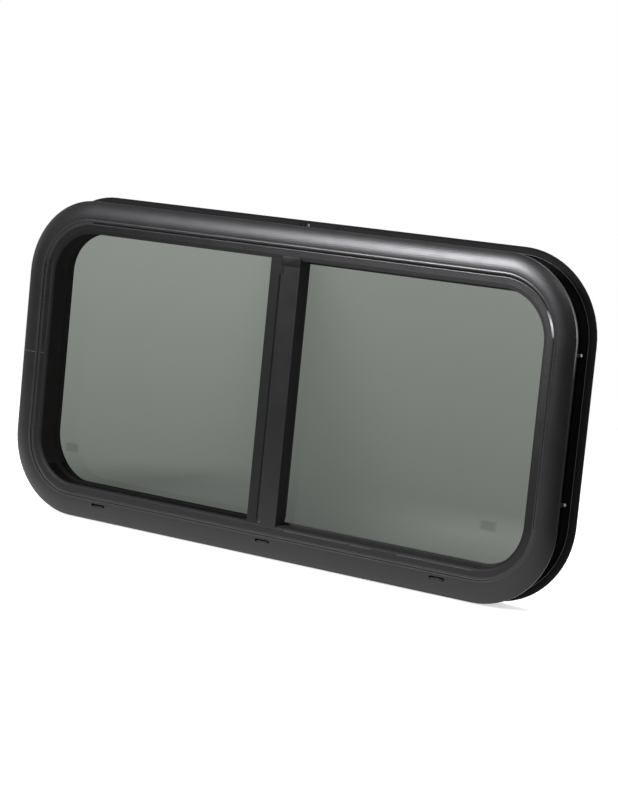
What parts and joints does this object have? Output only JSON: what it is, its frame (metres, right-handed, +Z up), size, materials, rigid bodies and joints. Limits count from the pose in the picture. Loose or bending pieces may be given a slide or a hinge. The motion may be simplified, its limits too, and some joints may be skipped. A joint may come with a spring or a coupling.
{
  "type": "caravan window",
  "caption": "Horizontal sliding window with a black aluminium frame, a fixed and a sliding tinted pane, a mullion and an inner clamp ring that grips a thin caravan wall.",
  "frame": {"origin": "on the back of the outer flange, where it seats on the wall's outside, at the middle of the bottom run", "axes": "+X to the right as seen from outside, +Y into the room along the seat's normal, +Z up"},
  "size_m": [0.6258, 0.0463, 0.3207],
  "materials": {
    "black_frame": "satin",
    "black_ring": "satin",
    "tinted_glass": "polished",
    "black_rubber": "matte",
    "brush_pile": "matte",
    "black_plastic": "matte",
    "white_plastic": "matte",
    "zinc_steel": "satin"
  },
  "bodies": {
    "root": {"outer_frame": "black_frame", "front_track_infill": "black_plastic", "mullion": "black_frame", "mullion_cover_strip": "black_frame", "mullion_head_block": "black_plastic", "mullion_foot_block": "black_plastic", "mullion_screws": "zinc_steel", "mullion_brush": "brush_pile", "fixed_glass": "tinted_glass", "fixed_glass_outer_gasket": "black_rubber", "fixed_glass_inner_gasket": "black_rubber", "fixed_glass_blocks": "black_plastic", "fixed_glass_edge_pad": "black_rubber", "sliding_glass": "tinted_glass", "sliding_outer_brush": "brush_pile", "sliding_inner_brush": "brush_pile", "sliding_stile": "black_frame", "stile_fin": "black_rubber", "sliding_gliders": "white_plastic", "catch_body": "black_plastic", "catch_lever": "black_plastic", "catch_screws": "zinc_steel", "clamp_ring": "black_ring", "ring_joint_plate": "black_ring", "ring_joint_rivets": "zinc_steel", "clamp_screws_top": "zinc_steel", "clamp_screws_bottom": "zinc_steel", "clamp_screws_left": "zinc_steel", "clamp_screws_right": "zinc_steel"}
  },
  "joints": []
}
